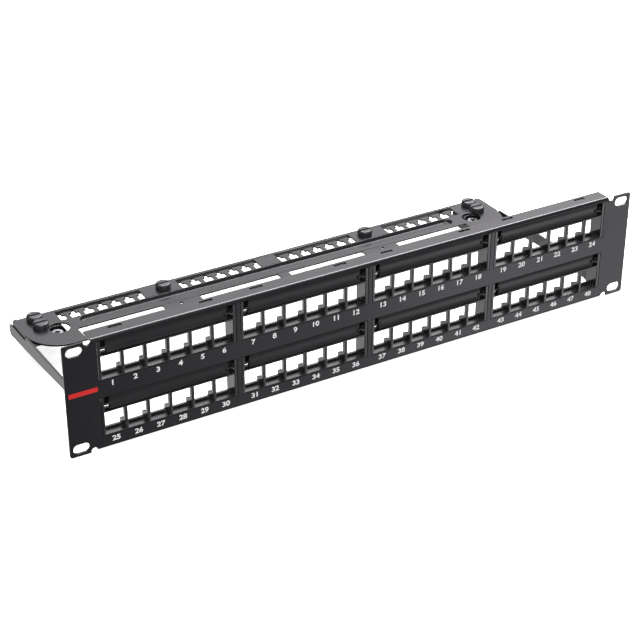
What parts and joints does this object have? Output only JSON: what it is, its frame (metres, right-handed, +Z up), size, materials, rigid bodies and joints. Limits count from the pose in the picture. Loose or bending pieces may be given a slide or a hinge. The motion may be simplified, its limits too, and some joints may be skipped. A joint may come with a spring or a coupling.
{
  "type": "patch panel",
  "caption": "Black rack-mount patch panel with empty keystone openings, tilting label strips and a rear cable tray on two arms.",
  "frame": {"origin": "centre of the four rack slots, on the rear face of the ears", "axes": "+X to the right seen from the front, +Y rearwards into the rack, +Z up"},
  "size_m": [0.4826, 0.1715, 0.0882],
  "materials": {
    "panel_steel": "satin black powder coat",
    "tray_steel": "satin black powder coat",
    "module_plastic": "black moulded ABS, fine texture",
    "carrier_plastic": "black moulded ABS, smooth",
    "screw_black": "satin black",
    "zinc_steel": "bright zinc plate"
  },
  "bodies": {
    "frame": {"front_panel": "panel_steel", "centre_rail": "panel_steel", "arm_left": "panel_steel", "arm_right": "panel_steel", "cable_tray": "tray_steel", "foot_studs": "zinc_steel", "foot_nuts": "zinc_steel", "tray_screws": "screw_black", "tray_nuts": "zinc_steel", "earth_nuts": "zinc_steel", "port_module_top_1": "module_plastic", "port_module_top_2": "module_plastic", "port_module_top_3": "module_plastic", "port_module_top_4": "module_plastic", "port_module_bottom_1": "module_plastic", "port_module_bottom_2": "module_plastic", "port_module_bottom_3": "module_plastic", "port_module_bottom_4": "module_plastic"},
    "label_top_1": {"label_carrier_top_1": "carrier_plastic"},
    "label_top_2": {"label_carrier_top_2": "carrier_plastic"},
    "label_top_3": {"label_carrier_top_3": "carrier_plastic"},
    "label_top_4": {"label_carrier_top_4": "carrier_plastic"},
    "label_bottom_1": {"label_carrier_bottom_1": "carrier_plastic"},
    "label_bottom_2": {"label_carrier_bottom_2": "carrier_plastic"},
    "label_bottom_3": {"label_carrier_bottom_3": "carrier_plastic"},
    "label_bottom_4": {"label_carrier_bottom_4": "carrier_plastic"}
  },
  "joints": [
    {"name": "label_tilt_top_1", "type": "hinge", "parent": "frame", "child": "label_top_1", "pos_m": [-0.1635, 0.0008, 0.0346], "axis": [1, 0, 0], "range_deg": [0, 60]},
    {"name": "label_tilt_top_2", "type": "hinge", "parent": "frame", "child": "label_top_2", "pos_m": [-0.0545, 0.0008, 0.0346], "axis": [1, 0, 0], "range_deg": [0, 60]},
    {"name": "label_tilt_top_3", "type": "hinge", "parent": "frame", "child": "label_top_3", "pos_m": [0.0545, 0.0008, 0.0346], "axis": [1, 0, 0], "range_deg": [0, 60]},
    {"name": "label_tilt_top_4", "type": "hinge", "parent": "frame", "child": "label_top_4", "pos_m": [0.1635, 0.0008, 0.0346], "axis": [1, 0, 0], "range_deg": [0, 60]},
    {"name": "label_tilt_bottom_1", "type": "hinge", "parent": "frame", "child": "label_bottom_1", "pos_m": [-0.1635, 0.0008, -0.00985], "axis": [1, 0, 0], "range_deg": [0, 60]},
    {"name": "label_tilt_bottom_2", "type": "hinge", "parent": "frame", "child": "label_bottom_2", "pos_m": [-0.0545, 0.0008, -0.00985], "axis": [1, 0, 0], "range_deg": [0, 60]},
    {"name": "label_tilt_bottom_3", "type": "hinge", "parent": "frame", "child": "label_bottom_3", "pos_m": [0.0545, 0.0008, -0.00985], "axis": [1, 0, 0], "range_deg": [0, 60]},
    {"name": "label_tilt_bottom_4", "type": "hinge", "parent": "frame", "child": "label_bottom_4", "pos_m": [0.1635, 0.0008, -0.00985], "axis": [1, 0, 0], "range_deg": [0, 60]}
  ]
}
